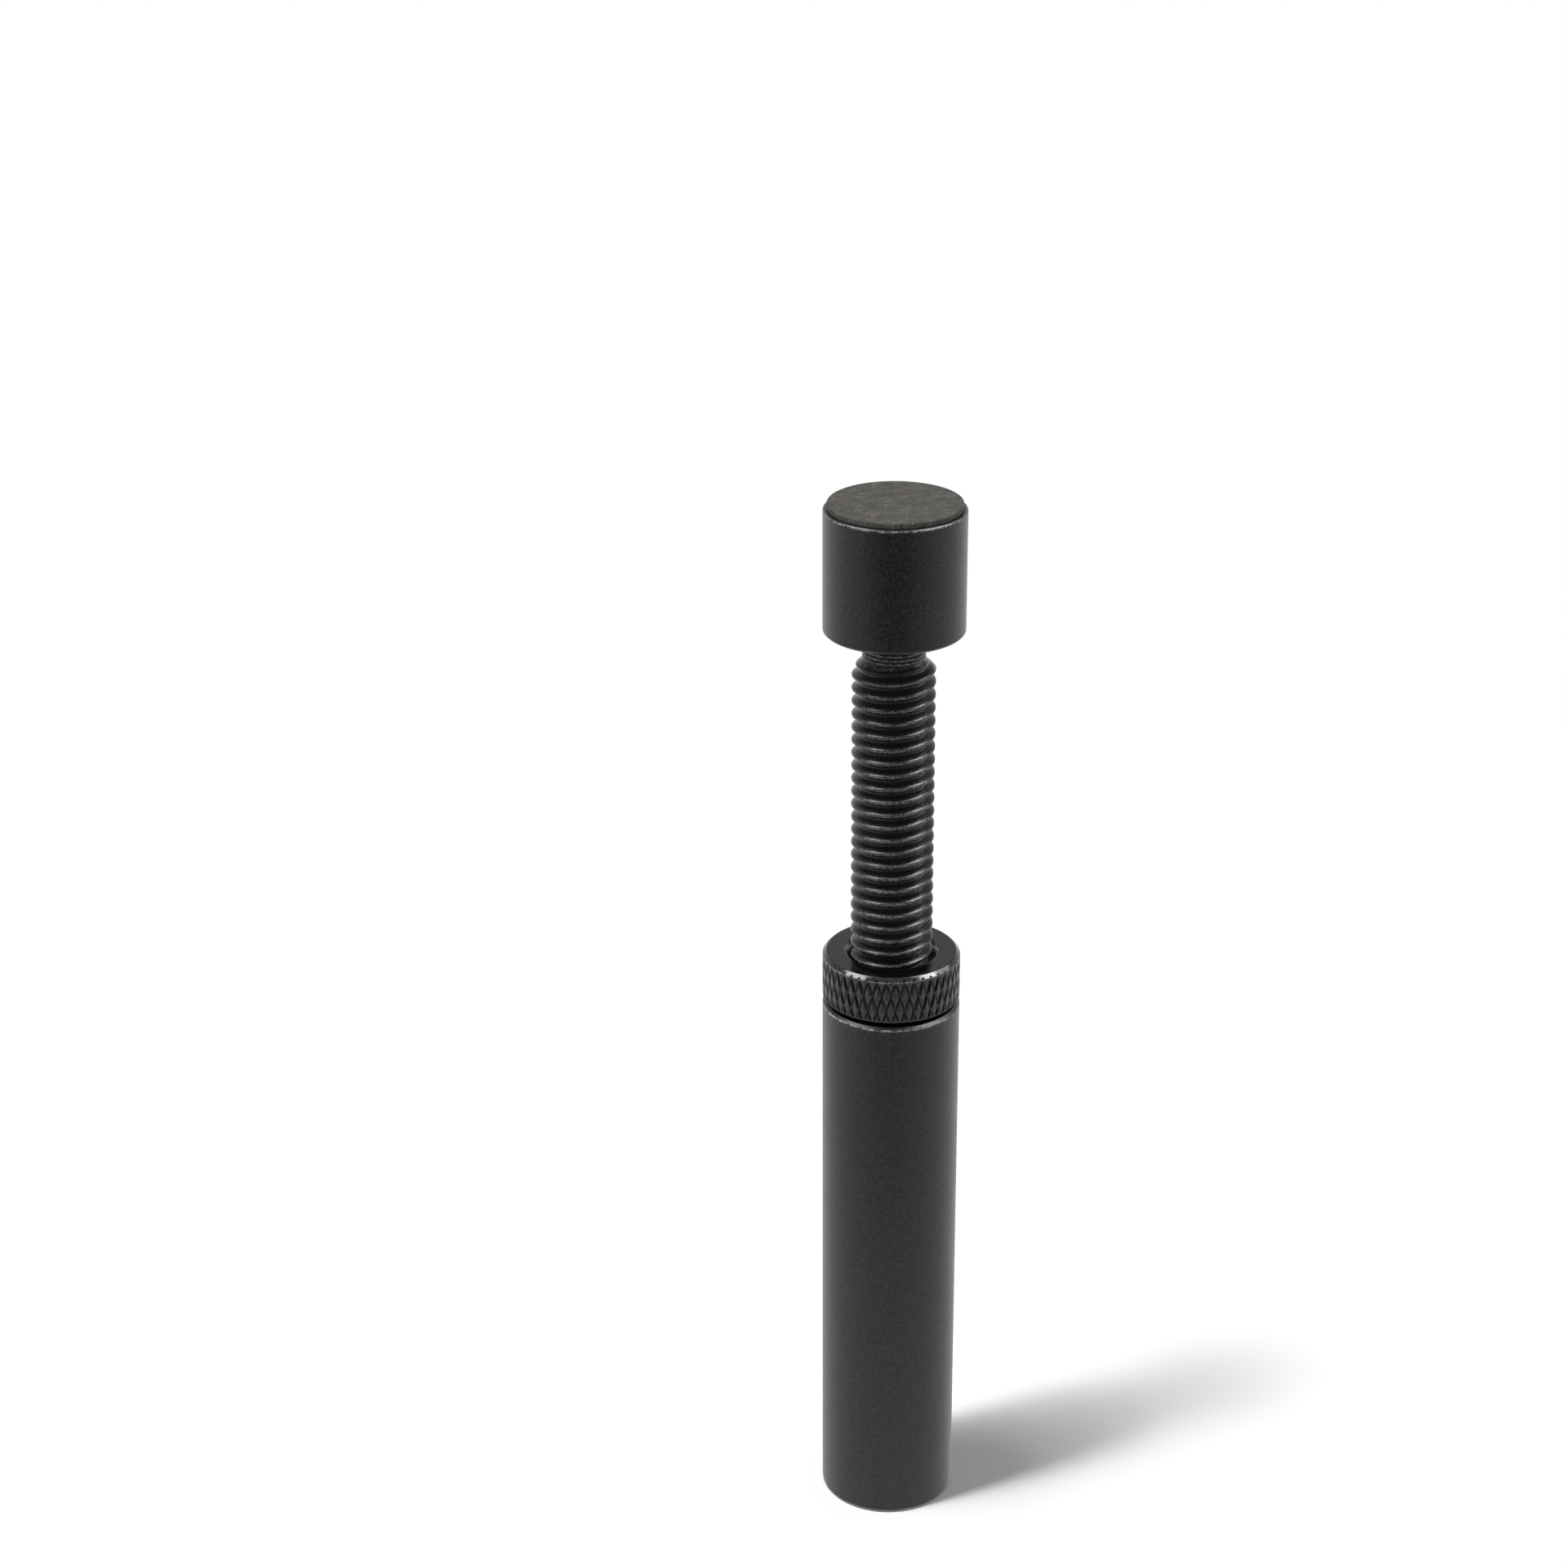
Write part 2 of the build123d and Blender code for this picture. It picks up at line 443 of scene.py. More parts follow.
def build_ring(sizes):
    """Ring nut with a crossed knurl outside, a countersink and a thread inside."""
    segments = sizes.knurl_count * KNURL_STEPS
    angle = np.arange(segments) * 2 * math.pi / segments
    low, high, radius = RING_LOW.z, RING_HIGH.z, RING_HIGH.x
    soft, bevel, foot = sizes.edge_round, sizes.ring_bevel, sizes.ring_foot_bevel
    bore = sizes.rod_radius + sizes.thread_gap
    side = np.linspace(low + foot, high - bevel, KNURL_ROWS + 1)
    levels = [(height, 0.0) for height in low + foot * BEVEL_STEPS]
    levels += [(height, None) for height in side[:-1]]
    # Wear with a painted highlight: the bright corner line and the lit upper bevel
    levels += [(side[-1], CORNER_WEAR_AND_HIGHLIGHT)]
    levels += [(height, BEVEL_WEAR_AND_HIGHLIGHT) for height in high - bevel * BEVEL_STEPS[::-1]]
    rows = []
    for height, edge in levels:
        inset = max(low + foot - height, height - (high - bevel), 0.0)
        drop = knurl_drop(angle, np.full(segments, height), sizes, radius)
        if edge is None:
            land = np.clip(1 - drop / LAND_FADE, 0.0, 1.0)
            # Lands get wear; grooves get painted shade that dulls their shine with depth
            edge = LAND_WEAR * land - (drop / sizes.knurl_depth) ** GROOVE_SHADE_CURVE
        rows.append((np.minimum(radius - drop, radius - inset), height, edge))
    mouth = bore + sizes.ring_countersink
    rows += rounded_profile([
        (radius - bevel, high),
        (radius - bevel - 2 * soft, high),
        (mouth, high, soft, MOUTH_WEAR),
        (bore, high - sizes.ring_countersink),
    ])[1:]
    rows += nut_thread_rows(angle, bore, high - sizes.ring_countersink, low + sizes.bore_bevel, sizes)
    rows += rounded_profile([
        (bore, low + sizes.bore_bevel),
        (bore + sizes.bore_bevel, low, soft),
        (radius - foot - 2 * soft, low),
    ])[1:]
    return turned("adjusting_ring_piece", rows, segments, closed=True)


def nut_thread_rows(angle, bore, high, low, sizes):
    """Rows down the nut's thread, which follows the rod's thread with a gap."""
    rows = []
    for step in range(1, BORE_ROWS):
        height = high + (low - high) * step / BORE_ROWS
        phase = (height - ROD_LOW.z) / sizes.thread_pitch - angle / (2 * math.pi) + THREAD_START
        ease = min(NUT_EASE, step / BORE_ROWS, 1 - step / BORE_ROWS) / NUT_EASE
        rows.append((bore - ease * thread_drop(phase, sizes), height, 0.0))
    return rows


# Turned pieces

TURNED_SEGMENTS = 192
# Wear of the edges that show: the tube's foot inside and outside and the head's foot; wear with a painted
# highlight line on the tube's rim and on the head's rim
POCKET_WEAR = 0.2
TUBE_FOOT_WEAR = 0.3
TUBE_RIM_WEAR_AND_HIGHLIGHT = 1.5
HEAD_FOOT_WEAR = 0.1
HEAD_RIM_WEAR_AND_HIGHLIGHT = 0.9


def build_tube(sizes):
    """Base tube with its bevels, blind bore and magnet pocket."""
    radius, top, soft = TUBE_HIGH.x, TUBE_HIGH.z, sizes.edge_round
    pocket = MAGNET_HIGH.x + sizes.pocket_gap
    return turned("base_tube_piece", rounded_profile([
        (0.0, MAGNET_HIGH.z),
        (pocket, MAGNET_HIGH.z, soft),
        (pocket, 0.0, soft, POCKET_WEAR),
        (radius - sizes.foot_bevel, 0.0, soft, POCKET_WEAR),
        (radius, sizes.foot_bevel, soft, TUBE_FOOT_WEAR),
        # The rim's bright line is wear and painted highlight
        (radius, top - sizes.tube_bevel, soft, TUBE_RIM_WEAR_AND_HIGHLIGHT),
        (radius - sizes.tube_bevel, top, soft),
        (sizes.tube_bore + sizes.bore_bevel, top, soft),
        (sizes.tube_bore, top - sizes.bore_bevel, soft),
        (sizes.tube_bore, sizes.bore_floor, soft),
        (0.0, sizes.bore_floor),
    ]), TURNED_SEGMENTS)


def build_magnet(sizes):
    """Disc magnet in the tube's foot."""
    radius, low, high = MAGNET_HIGH.x, MAGNET_LOW.z, MAGNET_HIGH.z
    bevel, soft = sizes.magnet_bevel, sizes.edge_round
    return turned("base_magnet_piece", rounded_profile([
        (0.0, low),
        (radius - bevel, low, soft),
        (radius, low + bevel, soft),
        (radius, high - bevel, soft),
        (radius - bevel, high, soft),
        (0.0, high),
    ]), TURNED_SEGMENTS)


def build_head(sizes):
    """Round head with the blind hole that takes the rod's stud."""
    radius, low, high, soft = HEAD_HIGH.x, HEAD_LOW.z, HEAD_HIGH.z, sizes.edge_round
    hole = sizes.neck_radius + sizes.stud_gap
    return turned("head_piece", rounded_profile([
        (0.0, ROD_HIGH.z),
        (hole, ROD_HIGH.z, soft),
        (hole, low, soft),
        (radius - sizes.head_foot_bevel, low, soft),
        (radius, low + sizes.head_foot_bevel, soft, HEAD_FOOT_WEAR),
        # The rim's bright line is wear and painted highlight
        (radius, high - sizes.head_top_bevel, soft, HEAD_RIM_WEAR_AND_HIGHLIGHT),
        (radius - sizes.head_top_bevel, high, soft),
        (0.0, high),
    ]), TURNED_SEGMENTS)


def build_pad(sizes):
    """Thin rubber disc on the head."""
    radius, low, high = PAD_HIGH.x, PAD_LOW.z, PAD_HIGH.z
    return turned("head_pad_piece", rounded_profile([
        (0.0, low),
        (radius, low, sizes.edge_round),
        (radius, high, sizes.pad_round),
        (0.0, high),
    ]), TURNED_SEGMENTS)


# Finishes

# Depth of the lines that a lathe leaves, and the share of its shine that a finish keeps in a groove under
# painted shade
TURNING_DEPTH = 0.000006
PAINTED_GROOVE_SHADE_SHEEN = 0.25


def add_node(tree, kind, **values):
    """A node with its settings, and with inputs named by their sockets."""
    made = tree.nodes.new(kind)
    for key, value in values.items():
        if key in made.inputs:
            made.inputs[key].default_value = value
        else:
            setattr(made, key, value)
    return made


def new_group(name, inputs, outputs):
    """An empty shader node group with float sockets, and its input and output nodes."""
    group = bpy.data.node_groups.new(name, "ShaderNodeTree")
    for label, default in inputs:
        socket = group.interface.new_socket(label, in_out="INPUT", socket_type="NodeSocketFloat")
        socket.default_value = default
    for label in outputs:
        group.interface.new_socket(label, in_out="OUTPUT", socket_type="NodeSocketFloat")
    return group, group.nodes.new("NodeGroupInput"), group.nodes.new("NodeGroupOutput")


def grain_group():
    """Fine blasted grain, a slow mottle and sparse specks."""
    found = bpy.data.node_groups.get("Blasted grain")
    if found:
        return found
    group, given, result = new_group(
        "Blasted grain", [("Grain scale", 9000.0), ("Mottle scale", 220.0)], ["Grain", "Mottle", "Specks"]
    )
    position = group.nodes.new("ShaderNodeTexCoord").outputs["Object"]
    grain = add_node(group, "ShaderNodeTexNoise", Detail=2.0, Roughness=0.6)
    crisp = add_node(group, "ShaderNodeMapRange", **{"From Min": 0.3, "From Max": 0.7})
    mottle = add_node(group, "ShaderNodeTexNoise", Detail=4.0, Roughness=0.6)
    cells = add_node(group, "ShaderNodeTexVoronoi", Scale=900.0)
    specks = add_node(group, "ShaderNodeMapRange", **{
        "From Min": 0.04, "From Max": 0.09, "To Min": 1.0, "To Max": 0.0,
    })
    for texture in (grain, mottle, cells):
        group.links.new(position, texture.inputs["Vector"])
    group.links.new(given.outputs["Grain scale"], grain.inputs["Scale"])
    group.links.new(given.outputs["Mottle scale"], mottle.inputs["Scale"])
    group.links.new(cells.outputs["Distance"], specks.inputs["Value"])
    group.links.new(grain.outputs["Fac"], crisp.inputs["Value"])
    group.links.new(crisp.outputs["Result"], result.inputs["Grain"])
    group.links.new(mottle.outputs["Fac"], result.inputs["Mottle"])
    group.links.new(specks.outputs["Result"], result.inputs["Specks"])
    return group


def edge_wear_and_highlight_group():
    """Breaks an edge mask into an uneven bright line: a thinly anodised edge, and a painted highlight on
    bevels and crests.
    """
    found = bpy.data.node_groups.get("Edge wear and painted highlight")
    if found:
        return found
    group, given, result = new_group(
        "Edge wear and painted highlight", [("Edge", 0.0), ("Break scale", 700.0), ("Amount", 0.5)], ["Wear"]
    )
    position = group.nodes.new("ShaderNodeTexCoord").outputs["Object"]
    broken = add_node(group, "ShaderNodeTexNoise", Detail=3.0, Roughness=0.65)
    sharpen = add_node(group, "ShaderNodeMapRange", **{"From Min": 0.4, "From Max": 0.62})
    kept = add_node(group, "ShaderNodeMath", operation="MULTIPLY")
    scaled = add_node(group, "ShaderNodeMath", operation="MULTIPLY")
    group.links.new(position, broken.inputs["Vector"])
    group.links.new(given.outputs["Break scale"], broken.inputs["Scale"])
    group.links.new(broken.outputs["Fac"], sharpen.inputs["Value"])
    group.links.new(sharpen.outputs["Result"], kept.inputs[0])
    group.links.new(given.outputs["Edge"], kept.inputs[1])
    group.links.new(kept.outputs["Value"], scaled.inputs[0])
    group.links.new(given.outputs["Amount"], scaled.inputs[1])
    group.links.new(scaled.outputs["Value"], result.inputs["Wear"])
    return group


def turning_group():
    """Fine lines that a lathe leaves round the axis."""
    found = bpy.data.node_groups.get("Turning lines")
    if found:
        return found
    group, given, result = new_group("Turning lines", [("Line scale", 9000.0)], ["Lines"])
    position = group.nodes.new("ShaderNodeTexCoord").outputs["Object"]
    split = group.nodes.new("ShaderNodeSeparateXYZ")
    out_x = add_node(group, "ShaderNodeMath", operation="MULTIPLY")
    out_y = add_node(group, "ShaderNodeMath", operation="MULTIPLY")
    out = add_node(group, "ShaderNodeMath", operation="ADD")
    radius = add_node(group, "ShaderNodeMath", operation="SQRT")
    across = add_node(group, "ShaderNodeMath", operation="ADD")
    lines = add_node(group, "ShaderNodeTexNoise", noise_dimensions="1D", Detail=2.0)
    group.links.new(position, split.inputs["Vector"])
    for part, square in (("X", out_x), ("Y", out_y)):
        group.links.new(split.outputs[part], square.inputs[0])
        group.links.new(split.outputs[part], square.inputs[1])
    group.links.new(out_x.outputs["Value"], out.inputs[0])
    group.links.new(out_y.outputs["Value"], out.inputs[1])
    group.links.new(out.outputs["Value"], radius.inputs[0])
    group.links.new(radius.outputs["Value"], across.inputs[0])
    group.links.new(split.outputs["Z"], across.inputs[1])
    group.links.new(across.outputs["Value"], lines.inputs["W"])
    group.links.new(given.outputs["Line scale"], lines.inputs["Scale"])
    group.links.new(lines.outputs["Fac"], result.inputs["Lines"])
    return group


def new_material(name, **shader_values):
    """A material with a Principled shader whose constant sockets are set, and its tree."""
    material = bpy.data.materials.new(name)
    material.use_nodes = True
    tree = material.node_tree
    shader = tree.nodes["Principled BSDF"]
    for socket, value in shader_values.items():
        shader.inputs[socket.replace("_", " ")].default_value = value
    return material, tree, shader


def use_group(tree, group, **values):
    """Places a node group with its own values."""
    made = tree.nodes.new("ShaderNodeGroup")
    made.node_tree = group
    for socket, value in values.items():
        made.inputs[socket.replace("_", " ")].default_value = value
    return made


def wear_and_painted_light_mask(tree):
    """The piece's own edge mask: wear and painted highlight above 0, painted shade in grooves below 0."""
    return add_node(tree, "ShaderNodeAttribute", attribute_name=WEAR_AND_PAINTED_LIGHT_MASK).outputs["Fac"]


def edge_wear_and_highlight(tree, scale, amount):
    """The wear and painted highlight along the piece's edges."""
    wear = use_group(tree, edge_wear_and_highlight_group(), Break_scale=scale, Amount=amount)
    tree.links.new(wear_and_painted_light_mask(tree), wear.inputs["Edge"])
    return wear.outputs["Wear"]


def sheen_with_painted_groove_shade(tree, specular):
    """The shine of a finish, dulled down in the piece's grooves as painted shade."""
    sheen = add_node(tree, "ShaderNodeMapRange", **{
        "From Min": -1.0, "From Max": 0.0, "To Min": PAINTED_GROOVE_SHADE_SHEEN * specular, "To Max": specular,
    })
    tree.links.new(wear_and_painted_light_mask(tree), sheen.inputs["Value"])
    return sheen.outputs["Result"]


def blend_colour(tree, factor, first, second):
    """Mixes two colours by a mask. Each is a colour or a socket."""
    mix = add_node(tree, "ShaderNodeMix", data_type="RGBA")
    tree.links.new(factor, mix.inputs["Factor"])
    for label, value in (("A_Color", first), ("B_Color", second)):
        socket = next(s for s in mix.inputs if s.identifier == label)
        if hasattr(value, "links"):
            tree.links.new(value, socket)
        else:
            socket.default_value = (*value, 1.0)
    return next(s for s in mix.outputs if s.identifier == "Result_Color")


def map_value(tree, value, low, high):
    """Maps a 0 to 1 mask to a range."""
    mapped = add_node(tree, "ShaderNodeMapRange", **{"To Min": low, "To Max": high})
    tree.links.new(value, mapped.inputs["Value"])
    return mapped.outputs["Result"]


def bump(tree, shader, height, distance, strength):
    """Feeds a height to the shader's normal."""
    relief = add_node(tree, "ShaderNodeBump", Strength=strength, Distance=distance)
    tree.links.new(height, relief.inputs["Height"])
    tree.links.new(relief.outputs["Normal"], shader.inputs["Normal"])


def shades(value, *shares):
    """Darker and lighter shades of a colour, each a share of it."""
    return [tuple(share * channel for channel in value) for share in shares]


def matte_black(finishes):
    """Blasted and anodised black: dense fine grain, a faint mottle, and a bright broken edge of wear and
    painted highlight.
    """
    found = bpy.data.materials.get("matte_black_finish")
    if found:
        return found
    dark, light, speck = shades(finishes.matte_black, 0.0, 2.0, 3.5)
    material, tree, shader = new_material("matte_black_finish", IOR=1.5, Specular_IOR_Level=0.5)
    grain = use_group(tree, grain_group(), Grain_scale=4400.0, Mottle_scale=260.0)
    body = blend_colour(tree, grain.outputs["Grain"], dark, light)
    specked = blend_colour(tree, grain.outputs["Specks"], body, speck)
    wear = edge_wear_and_highlight(tree, scale=2400.0, amount=0.7)
    roughness = map_value(tree, grain.outputs["Mottle"], low=0.27, high=0.37)
    worn = blend_colour(tree, wear, specked, tuple(finishes.bare_edge_and_highlight))
    tree.links.new(worn, shader.inputs["Base Color"])
    tree.links.new(roughness, shader.inputs["Roughness"])
    bump(tree, shader, grain.outputs["Grain"], distance=0.00002, strength=0.5)
    return material


def gloss_black(name, base, bare_edge_and_highlight, wear, grain_depth, roughness, specular):
    """Bright turned and anodised black: fine turning lines, wear and painted highlight along edges, and
    painted shade that dulls the shine in grooves.
    """
    material, tree, shader = new_material(name, IOR=1.5)
    grain = use_group(tree, grain_group(), Grain_scale=4200.0, Mottle_scale=500.0)
    lines = use_group(tree, turning_group(), Line_scale=12000.0)
    dark, light = shades(base, 0.6, 1.5)
    body = blend_colour(tree, grain.outputs["Mottle"], dark, light)
    worn = blend_colour(tree, edge_wear_and_highlight(tree, scale=3600.0, amount=wear), body, bare_edge_and_highlight)
    relief = add_node(tree, "ShaderNodeMath", operation="MULTIPLY_ADD")
    relief.inputs[1].default_value = grain_depth / TURNING_DEPTH
    tree.links.new(grain.outputs["Grain"], relief.inputs[0])
    tree.links.new(lines.outputs["Lines"], relief.inputs[2])
    tree.links.new(worn, shader.inputs["Base Color"])
    tree.links.new(map_value(tree, grain.outputs["Grain"], *roughness), shader.inputs["Roughness"])
    # Painted shade: less shine down in the grooves
    tree.links.new(sheen_with_painted_groove_shade(tree, specular), shader.inputs["Specular IOR Level"])
    bump(tree, shader, relief.outputs["Value"], distance=TURNING_DEPTH, strength=0.4)
    return material


def pad_rubber(finishes):
    """Dark rubber with a pressed grain and dusty high spots."""
    dark, light, patch, dust = shades(finishes.pad_rubber, 0.4, 1.5, 0.5, 2.2)
    material, tree, shader = new_material("pad_rubber_finish", IOR=1.5, Specular_IOR_Level=0.35)
    grain = use_group(tree, grain_group(), Grain_scale=2600.0, Mottle_scale=700.0)
    body = blend_colour(tree, grain.outputs["Grain"], dark, light)
    patches = map_value(tree, grain.outputs["Mottle"], low=-1.0, high=2.2)
    patched = blend_colour(tree, patches, patch, body)
    dusty = blend_colour(tree, grain.outputs["Specks"], patched, dust)
    roughness = map_value(tree, grain.outputs["Grain"], low=0.6, high=0.85)
    tree.links.new(dusty, shader.inputs["Base Color"])
    tree.links.new(roughness, shader.inputs["Roughness"])
    bump(tree, shader, grain.outputs["Grain"], distance=0.00006, strength=0.7)
    return material


def magnet_plating(finishes):
    """Bright nickel plating with fine lines and a faint haze."""
    hazy, clear = shades(finishes.plating, 0.85, 1.0)
    material, tree, shader = new_material("magnet_plating_finish", Metallic=1.0)
    grain = use_group(tree, grain_group(), Grain_scale=6000.0, Mottle_scale=400.0)
    lines = use_group(tree, turning_group(), Line_scale=7000.0)
    body = blend_colour(tree, grain.outputs["Mottle"], hazy, clear)
    roughness = map_value(tree, grain.outputs["Mottle"], low=0.18, high=0.34)
    tree.links.new(body, shader.inputs["Base Color"])
    tree.links.new(roughness, shader.inputs["Roughness"])
    bump(tree, shader, lines.outputs["Lines"], distance=0.000008, strength=0.4)
    return material


# Stage

FLOOR_HALF = 2.0
# Share of plain white that the camera sees in the floor by the post, and where that share starts to
# rise and is whole
FLOOR_OWN_LIGHT = 0.08
FLOOR_FADE = (0.11, 0.3)
# Height on the post from which the direction to the mirrored floor is taken
EYE_HEIGHT = 0.06

# Studio brightness by direction: where front ends and back begins, the power by which it rises
# between them, heights in front with their brightness, the back's brightness, and the share of
# both that is left at each height
BACK_REACH = 0.92
BACK_POWER = 0.5
FRONT_HEIGHTS = (-0.8, -0.1)
FRONT_LIGHT = (0.6, 0.03)
BACK_LIGHT = 1.02
OVERHEAD_LIGHT = ((0.0, 1.0), (0.39, 0.43), (0.75, 0.2), (1.0, 0.8))
SENSOR_WIDTH = 36.0


def surroundings_group():
    """Brightness of a studio by direction: dim in front and overhead, bright at the sides and behind."""
    found = bpy.data.node_groups.get("Studio surroundings")
    if found:
        return found
    group = bpy.data.node_groups.new("Studio surroundings", "ShaderNodeTree")
    group.interface.new_socket("Direction", in_out="INPUT", socket_type="NodeSocketVector")
    group.interface.new_socket("Light", in_out="OUTPUT", socket_type="NodeSocketColor")
    given, result = group.nodes.new("NodeGroupInput"), group.nodes.new("NodeGroupOutput")
    unit = add_node(group, "ShaderNodeVectorMath", operation="NORMALIZE")
    split = group.nodes.new("ShaderNodeSeparateXYZ")
    behind = add_node(group, "ShaderNodeMapRange", **{"From Min": -BACK_REACH, "From Max": BACK_REACH})
    side = add_node(group, "ShaderNodeMath", operation="POWER")
    front = add_node(group, "ShaderNodeMapRange", **{
        "From Min": FRONT_HEIGHTS[0], "From Max": FRONT_HEIGHTS[1],
        "To Min": FRONT_LIGHT[0], "To Max": FRONT_LIGHT[1],
    })
    level = add_node(group, "ShaderNodeMix", data_type="FLOAT", B=BACK_LIGHT)
    overhead = group.nodes.new("ShaderNodeValToRGB")
    light = add_node(group, "ShaderNodeVectorMath", operation="SCALE")
    side.inputs[1].default_value = BACK_POWER
    stops = overhead.color_ramp.elements
    for height, _ in OVERHEAD_LIGHT[1:-1]:
        stops.new(height)
    for stop, (_, grey) in zip(stops, OVERHEAD_LIGHT):
        stop.color = (grey, grey, grey, 1.0)
    links = group.links
    links.new(given.outputs["Direction"], unit.inputs[0])
    links.new(unit.outputs["Vector"], split.inputs["Vector"])
    links.new(split.outputs["Y"], behind.inputs["Value"])
    links.new(behind.outputs["Result"], side.inputs[0])
    links.new(split.outputs["Z"], front.inputs["Value"])
    links.new(side.outputs["Value"], level.inputs["Factor"])
    links.new(front.outputs["Result"], level.inputs["A"])
    links.new(split.outputs["Z"], overhead.inputs["Fac"])
    links.new(overhead.outputs["Color"], light.inputs[0])
    links.new(level.outputs["Result"], light.inputs["Scale"])
    links.new(light.outputs["Vector"], result.inputs["Light"])
    return group


def floor_material(finishes):
    """Pale matte floor that keeps the shadow near the post and fades to plain white further off."""
    material = bpy.data.materials.new("floor_finish")
    material.use_nodes = True
    tree = material.node_tree
    tree.nodes.clear()
    path = tree.nodes.new("ShaderNodeLightPath")
    here = tree.nodes.new("ShaderNodeNewGeometry")
    away = add_node(tree, "ShaderNodeVectorMath", operation="LENGTH")
    fade = add_node(tree, "ShaderNodeMapRange", interpolation_type="SMOOTHSTEP", **{
        "From Min": FLOOR_FADE[0], "From Max": FLOOR_FADE[1], "To Min": FLOOR_OWN_LIGHT,
    })
    share = add_node(tree, "ShaderNodeMath", operation="MULTIPLY")
    matte = add_node(tree, "ShaderNodeBsdfDiffuse", Color=(*finishes.floor, 1.0))
    plain = add_node(tree, "ShaderNodeEmission", Strength=1.0)
    seen = tree.nodes.new("ShaderNodeMixShader")
    below = add_node(tree, "ShaderNodeVectorMath", operation="SUBTRACT")
    around = use_group(tree, surroundings_group())
    mirrored = add_node(tree, "ShaderNodeEmission", Strength=1.0)
    mix = tree.nodes.new("ShaderNodeMixShader")
    result = tree.nodes.new("ShaderNodeOutputMaterial")
    below.inputs[1].default_value = (0.0, 0.0, EYE_HEIGHT)
    links = tree.links
    links.new(here.outputs["Position"], away.inputs[0])
    links.new(away.outputs["Value"], fade.inputs["Value"])
    links.new(fade.outputs["Result"], share.inputs[0])
    links.new(path.outputs["Is Camera Ray"], share.inputs[1])
    links.new(share.outputs["Value"], seen.inputs["Fac"])
    links.new(matte.outputs["BSDF"], seen.inputs[1])
    links.new(plain.outputs["Emission"], seen.inputs[2])
    links.new(here.outputs["Position"], below.inputs[0])
    links.new(below.outputs["Vector"], around.inputs["Direction"])
    links.new(around.outputs["Light"], mirrored.inputs["Color"])
    links.new(path.outputs["Is Glossy Ray"], mix.inputs["Fac"])
    links.new(seen.outputs["Shader"], mix.inputs[1])
    links.new(mirrored.outputs["Emission"], mix.inputs[2])
    links.new(mix.outputs["Shader"], result.inputs["Surface"])
    return material


def build_floor(finishes):
    """Plain floor under the post."""
    mesh = bpy.data.meshes.new("floor")
    corners = [(-1, -1), (1, -1), (1, 1), (-1, 1)]
    mesh.from_pydata([(x * FLOOR_HALF, y * FLOOR_HALF, 0.0) for x, y in corners], [], [(0, 1, 2, 3)])
    floor = bpy.data.objects.new("floor", mesh)
    bpy.context.scene.collection.objects.link(floor)
    mesh.materials.append(floor_material(finishes))


def build_world(stage):
    """Studio all round: plain white to the camera, an even fill, and a graded mirror image."""
    world = bpy.data.worlds.new("studio")
    world.use_nodes = True
    tree = world.node_tree
    tree.nodes.clear()
    path = tree.nodes.new("ShaderNodeLightPath")
    direction = tree.nodes.new("ShaderNodeTexCoord").outputs["Generated"]
    around = use_group(tree, surroundings_group())
    fill = add_node(tree, "ShaderNodeBackground", Color=(1.0, 1.0, 1.0, 1.0), Strength=stage.fill)
    plain = add_node(tree, "ShaderNodeBackground", Color=(1.0, 1.0, 1.0, 1.0), Strength=1.0)
    mirrored = add_node(tree, "ShaderNodeBackground", Strength=1.0)
    seen = tree.nodes.new("ShaderNodeMixShader")
    mix = tree.nodes.new("ShaderNodeMixShader")
    result = tree.nodes.new("ShaderNodeOutputWorld")
    links = tree.links
    links.new(direction, around.inputs["Direction"])
    links.new(around.outputs["Light"], mirrored.inputs["Color"])
    links.new(path.outputs["Is Camera Ray"], seen.inputs["Fac"])
    links.new(fill.outputs["Background"], seen.inputs[1])
    links.new(plain.outputs["Background"], seen.inputs[2])
    links.new(path.outputs["Is Glossy Ray"], mix.inputs["Fac"])
    links.new(seen.outputs["Shader"], mix.inputs[1])
    links.new(mirrored.outputs["Background"], mix.inputs[2])
    links.new(mix.outputs["Shader"], result.inputs["Surface"])
    bpy.context.scene.world = world


def aim(light, direction):
    """Turns a light so that it shines against a direction, and links it to the scene."""
    light.rotation_euler = (-Vector(direction)).to_track_quat("-Z", "Y").to_euler()
    bpy.context.scene.collection.objects.link(light)


# Height of each part of the key light, and the way its shadow points, in degrees
KEY_PARTS = ((67.0, 27.0), (71.0, 26.0), (75.5, 23.0), (79.5, 19.0), (84.0, 10.0))
# Place and power of each light for glints
GLINT_PARTS = ((0.456, 0.0, 0.726, 5.5), (0.6, 0.14, 0.56, 1.4), (-0.456, -0.05, 0.726, 4.0))


def build_lights(stage):
    """A tall key light at the front left, in parts, and lights on both sides for glints alone."""
    for degrees in KEY_PARTS:
        data = bpy.data.lights.new("key", "SUN")
        data.energy, data.angle = stage.key_strength, stage.key_spread
        height, shadow = map(math.radians, degrees)
        out = -math.cos(height)
        direction = (out * math.cos(shadow), out * math.sin(shadow), math.sin(height))
        key = bpy.data.objects.new("key", data)
        key.visible_glossy = False
        aim(key, direction)
    for *location, power in GLINT_PARTS:
        data = bpy.data.lights.new("glint", "AREA")
        data.size, data.energy = stage.glint_size, power
        glint = bpy.data.objects.new("glint", data)
        glint.location = location
        glint.visible_diffuse = False
        aim(glint, location)


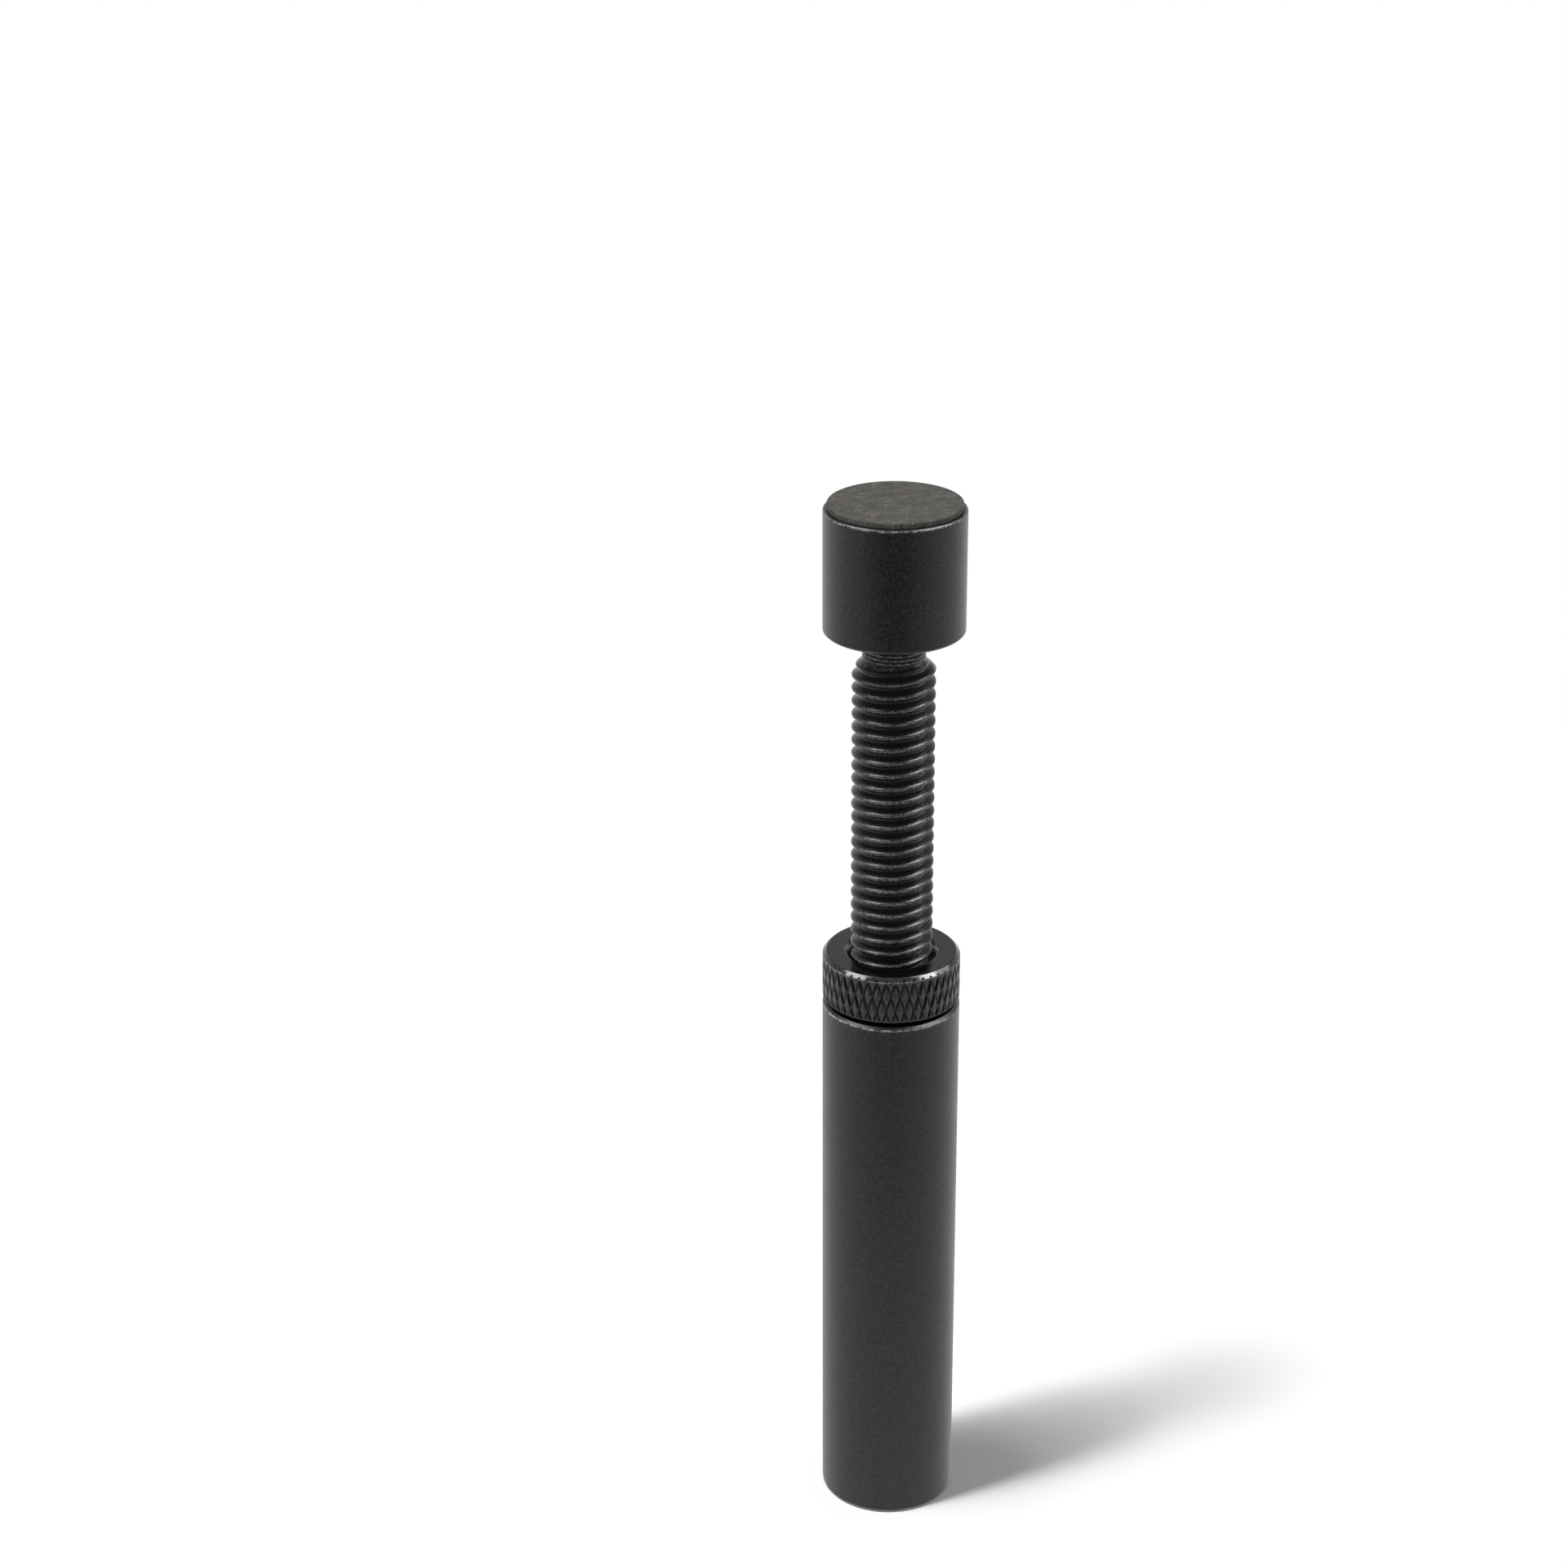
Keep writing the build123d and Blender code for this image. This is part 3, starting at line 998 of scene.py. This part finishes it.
def build_camera(stage):
    """Camera at the viewing angle, in front of the post and above it."""
    data = bpy.data.cameras.new("camera")
    data.sensor_width = SENSOR_WIDTH
    data.lens = stage.lens
    camera = bpy.data.objects.new("camera", data)
    pitch, yaw, roll = stage.camera_pitch, -stage.camera_yaw, stage.camera_roll
    ahead = Vector((math.sin(yaw) * math.cos(pitch), math.cos(yaw) * math.cos(pitch), -math.sin(pitch)))
    right = Vector((math.cos(yaw), -math.sin(yaw), 0.0))
    up = right.cross(ahead)
    right, up = (
        math.cos(roll) * right + math.sin(roll) * up,
        math.cos(roll) * up - math.sin(roll) * right,
    )
    turn = Matrix((right, up, -ahead)).transposed().to_4x4()
    camera.matrix_world = Matrix.Translation((0.0, -stage.camera_back, stage.camera_height)) @ turn
    bpy.context.scene.collection.objects.link(camera)
    bpy.context.scene.camera = camera


# Operators

class PieceOperator:
    """What the operators that build a piece share."""

    bl_options = {"REGISTER", "UNDO"}


class POST_OT_tube(PieceOperator, bpy.types.Operator):
    """Build the base tube"""

    bl_idname = "post.tube"
    bl_label = "Base tube"

    def execute(self, context):
        finish = matte_black(context.scene.post_finishes)
        place(build_tube(context.scene.post_sizes), "base", "base_tube", finish)
        return {"FINISHED"}


class POST_OT_magnet(PieceOperator, bpy.types.Operator):
    """Build the magnet in the foot"""

    bl_idname = "post.magnet"
    bl_label = "Magnet"

    def execute(self, context):
        finish = magnet_plating(context.scene.post_finishes)
        place(build_magnet(context.scene.post_sizes), "base", "base_magnet", finish)
        return {"FINISHED"}


class POST_OT_ring(PieceOperator, bpy.types.Operator):
    """Build the knurled ring nut"""

    bl_idname = "post.ring"
    bl_label = "Ring nut"

    def execute(self, context):
        finishes = context.scene.post_finishes
        base, bare = tuple(finishes.ring_black), tuple(finishes.bare_edge_and_highlight)
        finish = gloss_black(
            "ring_finish", base, bare, wear=0.2, grain_depth=0.000001, roughness=(0.1, 0.16), specular=0.8
        )
        place(build_ring(context.scene.post_sizes), "ring", "adjusting_ring", finish)
        return {"FINISHED"}


class POST_OT_rod(PieceOperator, bpy.types.Operator):
    """Build the threaded rod"""

    bl_idname = "post.rod"
    bl_label = "Threaded rod"

    def execute(self, context):
        finishes = context.scene.post_finishes
        base, bare = tuple(finishes.rod_black), tuple(finishes.bare_edge_and_highlight)
        finish = gloss_black(
            "rod_finish", base, bare, wear=0.45, grain_depth=0.000014, roughness=(0.15, 0.32), specular=0.4
        )
        place(build_rod(context.scene.post_sizes), "screw", "threaded_rod", finish)
        return {"FINISHED"}


class POST_OT_head(PieceOperator, bpy.types.Operator):
    """Build the head"""

    bl_idname = "post.head"
    bl_label = "Head"

    def execute(self, context):
        finish = matte_black(context.scene.post_finishes)
        place(build_head(context.scene.post_sizes), "screw", "head", finish)
        return {"FINISHED"}


class POST_OT_pad(PieceOperator, bpy.types.Operator):
    """Build the rubber pad on the head"""

    bl_idname = "post.pad"
    bl_label = "Head pad"

    def execute(self, context):
        finish = pad_rubber(context.scene.post_finishes)
        place(build_pad(context.scene.post_sizes), "screw", "head_pad", finish)
        return {"FINISHED"}


class POST_OT_stage(PieceOperator, bpy.types.Operator):
    """Build the floor, light and camera"""

    bl_idname = "post.stage"
    bl_label = "Stage"

    def execute(self, context):
        stage = context.scene.post_stage
        build_floor(context.scene.post_finishes)
        build_world(stage)
        build_lights(stage)
        build_camera(stage)
        context.scene.view_settings.view_transform = "Standard"
        return {"FINISHED"}


PIECE_OPERATORS = (
    POST_OT_tube,
    POST_OT_magnet,
    POST_OT_ring,
    POST_OT_rod,
    POST_OT_head,
    POST_OT_pad,
    POST_OT_stage,
)


class POST_PT_panel(bpy.types.Panel):
    """Lists the pieces of the post"""

    bl_idname = "POST_PT_panel"
    bl_label = "Card Support Post"
    bl_space_type = "VIEW_3D"
    bl_region_type = "UI"
    bl_category = "Post"

    def draw(self, context):
        for operator in PIECE_OPERATORS:
            self.layout.operator(operator.bl_idname)
        for group in (context.scene.post_sizes, context.scene.post_finishes, context.scene.post_stage):
            for key in group.__annotations__:
                self.layout.prop(group, key)


PROPERTY_GROUPS = {
    "post_sizes": PostSizes,
    "post_finishes": PostFinishes,
    "post_stage": PostStage,
}
CLASSES = (*PROPERTY_GROUPS.values(), *PIECE_OPERATORS, POST_PT_panel)


def register():
    for item in CLASSES:
        bpy.utils.register_class(item)
    for name, group in PROPERTY_GROUPS.items():
        setattr(bpy.types.Scene, name, bpy.props.PointerProperty(type=group))


def unregister():
    for name in PROPERTY_GROUPS:
        delattr(bpy.types.Scene, name)
    for item in reversed(CLASSES):
        bpy.utils.unregister_class(item)


def main():
    """Builds every piece and the stage."""
    register()
    bpy.ops.post.tube()
    bpy.ops.post.magnet()
    bpy.ops.post.ring()
    bpy.ops.post.rod()
    bpy.ops.post.head()
    bpy.ops.post.pad()
    bpy.ops.post.stage()


if __name__ == "__main__":
    main()
